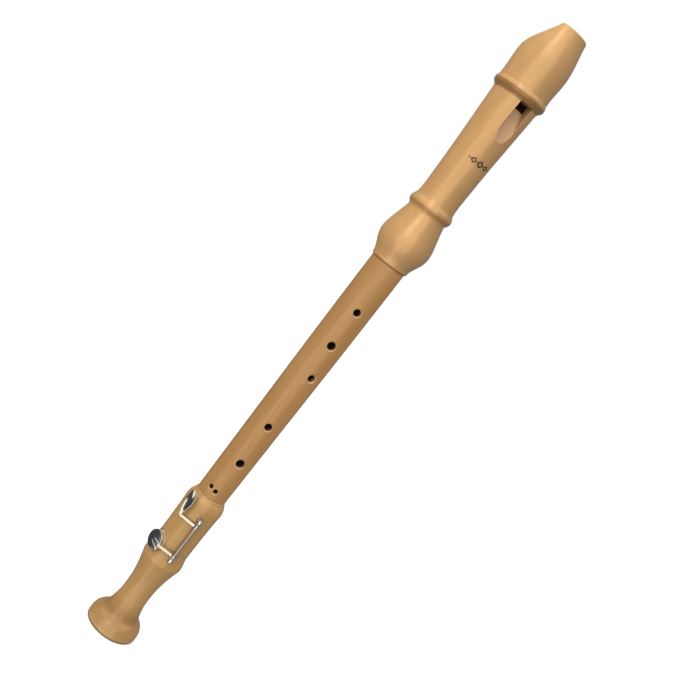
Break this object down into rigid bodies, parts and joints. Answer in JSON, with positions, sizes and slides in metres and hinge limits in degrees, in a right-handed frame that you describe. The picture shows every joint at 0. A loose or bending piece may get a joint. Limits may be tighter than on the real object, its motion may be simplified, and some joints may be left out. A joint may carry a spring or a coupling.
{
  "type": "tenor recorder",
  "caption": "Wooden duct flute in sections joined by cork-lined tenons: beaked head with window and block, body with finger holes, flared foot with a sprung padded key.",
  "frame": {"origin": "centre of the bore's mouth in the bell's end face, at the foot end of the instrument", "axes": "+Z runs along the instrument from the bell to the mouthpiece; -Y is the front, where the finger holes are; +X is to the right seen from the front, so the key's cup is on the -X side"},
  "size_m": [0.0502, 0.0502, 0.6495],
  "materials": {
    "head_wood": "satin oiled pale fruitwood, fine lengthwise grain",
    "middle_wood": "satin oiled fruitwood, fine lengthwise grain",
    "foot_wood": "satin oiled fruitwood, fine lengthwise grain",
    "block_wood": "plain unvarnished cedar",
    "cork": "natural cork, lightly greased",
    "key_metal": "polished silver-plated nickel silver",
    "steel": "plain steel",
    "pad_leather": "smooth cream leather over felt"
  },
  "bodies": {
    "foot": {"foot_joint": "foot_wood", "upper_pillar": "key_metal", "lower_pillar": "key_metal", "hinge_screw": "steel"},
    "key": {"hinge_tube": "key_metal", "cup_arm": "key_metal", "pad_cup": "key_metal", "pad": "pad_leather", "touch_arm": "key_metal", "touch_piece": "key_metal", "stop_cork": "cork", "key_spring": "steel"},
    "lower_cork": {"lower_tenon_cork": "cork"},
    "middle": {"middle_joint": "middle_wood"},
    "upper_cork": {"upper_tenon_cork": "cork"},
    "head": {"head_joint": "head_wood", "block": "block_wood"}
  },
  "joints": [
    {"name": "key_hinge", "type": "hinge", "parent": "foot", "child": "key", "pos_m": [0.00117, -0.02227, 0.0976], "axis": [0, 0, -1], "range_deg": [0, 8.5], "stiffness_Nm_per_rad": 0.03, "springref_deg": -22.92},
    {"name": "foot_pull", "type": "slide", "parent": "foot", "child": "lower_cork", "axis": [0, 0, 1], "range_m": [0, 0.032]},
    {"name": "foot_twist", "type": "hinge", "parent": "lower_cork", "child": "middle", "pos_m": [0, 0, 0.1564], "axis": [0, 0, 1], "continuous": true},
    {"name": "head_twist", "type": "hinge", "parent": "middle", "child": "upper_cork", "pos_m": [0, 0, 0.4122], "axis": [0, 0, 1], "continuous": true},
    {"name": "head_pull", "type": "slide", "parent": "upper_cork", "child": "head", "axis": [0, 0, 1], "range_m": [0, 0.033]}
  ]
}
